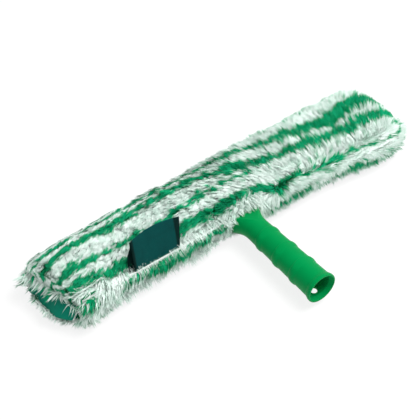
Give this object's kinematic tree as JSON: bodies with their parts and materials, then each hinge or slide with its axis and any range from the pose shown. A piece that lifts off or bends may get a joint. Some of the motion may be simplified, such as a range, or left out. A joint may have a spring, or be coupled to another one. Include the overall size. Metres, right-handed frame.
{
  "type": "window scrubber",
  "caption": "Window scrubber: a T-bar holder with a ringed handle and pole socket, inside a striped plush washing sleeve with a front closure flap, an end flap and a folded label.",
  "frame": {"origin": "on the pole socket's axis, where its straight wall begins, 4 mm inside the handle's mouth", "axes": "-Y out of the handle's mouth, X along the bar and sleeve, -Z towards the underside that the scrubber rests on"},
  "size_m": [0.38, 0.176, 0.0606],
  "materials": {
    "holder_plastic": "Green moulded plastic with a fine matt texture",
    "plush_pile": "White plush pile with bands of green pile",
    "teal_fabric": "Smooth teal nylon cloth",
    "tape_hook": "Woven tape with moulded hooks",
    "tape_loop": "Woven tape with brushed loops",
    "white_binding": "White overlocked edge",
    "woven_label": "Dark teal woven ribbon, plain"
  },
  "bodies": {
    "bar_and_sleeve": {"t_bar_holder": "holder_plastic", "plush_sleeve": "plush_pile", "sleeve_lining": "teal_fabric", "front_facing": "teal_fabric", "loop_tape": "tape_loop", "end_facing": "teal_fabric", "end_loop_patch": "tape_loop"},
    "front_flap": {"closure_flap": "plush_pile", "flap_lining": "teal_fabric", "flap_edge_binding": "white_binding", "hook_tape": "tape_hook"},
    "end_closure": {"end_flap": "teal_fabric", "end_hook_patch": "tape_hook"},
    "label": {"blank_label": "woven_label"}
  },
  "joints": [
    {"name": "front_flap_fold", "type": "hinge", "parent": "bar_and_sleeve", "child": "front_flap", "pos_m": [-0.1, 0.10005, -0.02], "axis": [1, 0, 0], "range_deg": [0, 100]},
    {"name": "end_flap_fold", "type": "hinge", "parent": "bar_and_sleeve", "child": "end_closure", "pos_m": [-0.186, 0.1215, -0.0086], "axis": [0, -0.9903, 0.1392], "range_deg": [0, 90]},
    {"name": "label_fold", "type": "hinge", "parent": "front_flap", "child": "label", "pos_m": [-0.0925, 0.0947, 0.0106], "axis": [1, 0, 0], "range_deg": [0, 85]}
  ]
}
